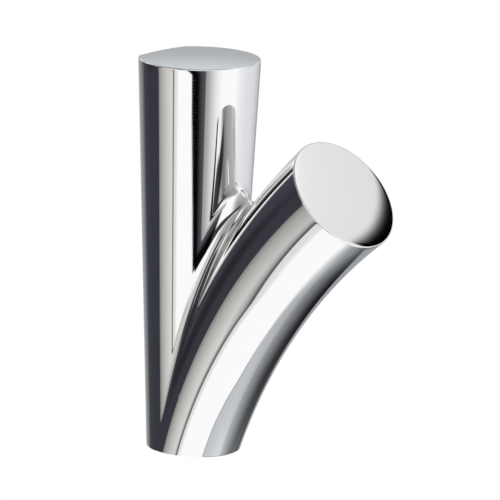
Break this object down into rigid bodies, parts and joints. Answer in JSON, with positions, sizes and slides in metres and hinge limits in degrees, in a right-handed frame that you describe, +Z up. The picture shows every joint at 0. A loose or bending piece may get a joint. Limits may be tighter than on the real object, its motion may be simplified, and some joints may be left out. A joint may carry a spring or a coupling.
{
  "type": "towel hook",
  "caption": "Polished chrome wall hook: a tapered upright post, flat at the back, with a curved tapered branch rising from its foot to hang a towel on.",
  "frame": {"origin": "centre of the fixing hole's mouth, in the plane of the flat back", "axes": "+Z up along the post, +Y into the wall along the fixing hole, hook symmetric about X = 0 and standing out on -Y"},
  "size_m": [0.02, 0.0455, 0.0655],
  "materials": {
    "polished_chrome": "mirror-polished chrome plate over a casting"
  },
  "bodies": {
    "root": {"hook_body": "polished_chrome"}
  },
  "joints": []
}
